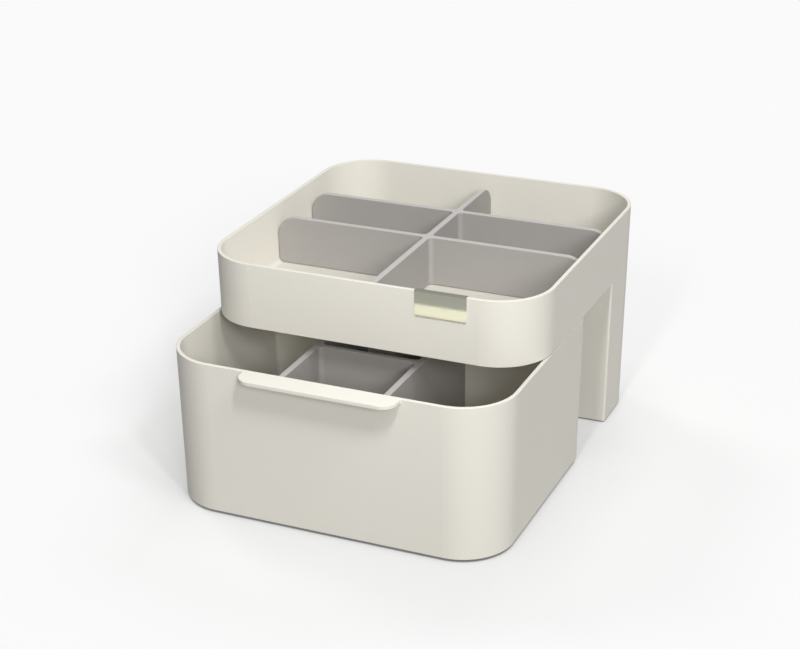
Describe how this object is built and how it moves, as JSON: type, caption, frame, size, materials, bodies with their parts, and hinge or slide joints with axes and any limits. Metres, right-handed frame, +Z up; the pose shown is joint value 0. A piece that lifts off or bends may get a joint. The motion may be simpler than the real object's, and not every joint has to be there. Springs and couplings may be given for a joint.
{
  "type": "cosmetics organizer with drawer",
  "caption": "Open tray that ends in a tall rear well, over a pull-out drawer with a handle lip, with loose dividers in both.",
  "frame": {"origin": "on the table, under the middle of the organizer's bounding box, with the drawer pulled out as in rest", "axes": "+X to the right seen from the drawer's front, +Y from the drawer's front to the well's back, +Z up"},
  "size_m": [0.22, 0.2872, 0.1437],
  "materials": {
    "cream_shell": "fine satin moulded finish",
    "grey_insert": "matte moulded finish",
    "badge_metal": "polished",
    "pad_rubber": "matte"
  },
  "bodies": {
    "root": {"organizer_body": "cream_shell", "badge_plate": "badge_metal", "well_pad_front_left": "pad_rubber", "well_pad_front_right": "pad_rubber", "well_pad_rear_left": "pad_rubber", "well_pad_rear_right": "pad_rubber"},
    "drawer": {"drawer": "cream_shell", "drawer_pad_front_left": "pad_rubber", "drawer_pad_front_right": "pad_rubber", "drawer_pad_rear_left": "pad_rubber", "drawer_pad_rear_right": "pad_rubber"},
    "tray_divider": {"tray_divider": "grey_insert"},
    "drawer_divider": {"drawer_divider": "grey_insert"}
  },
  "joints": [
    {"name": "drawer_slide", "type": "slide", "parent": "root", "child": "drawer", "axis": [0, -1, 0], "range_m": [-0.0577, 0.08469]},
    {"name": "tray_divider_lift", "type": "slide", "parent": "root", "child": "tray_divider", "axis": [0, 0, 1], "range_m": [0, 0.04]},
    {"name": "drawer_divider_slide", "type": "slide", "parent": "drawer", "child": "drawer_divider", "axis": [1, 0, 0], "range_m": [-0.033, 0.043]}
  ]
}
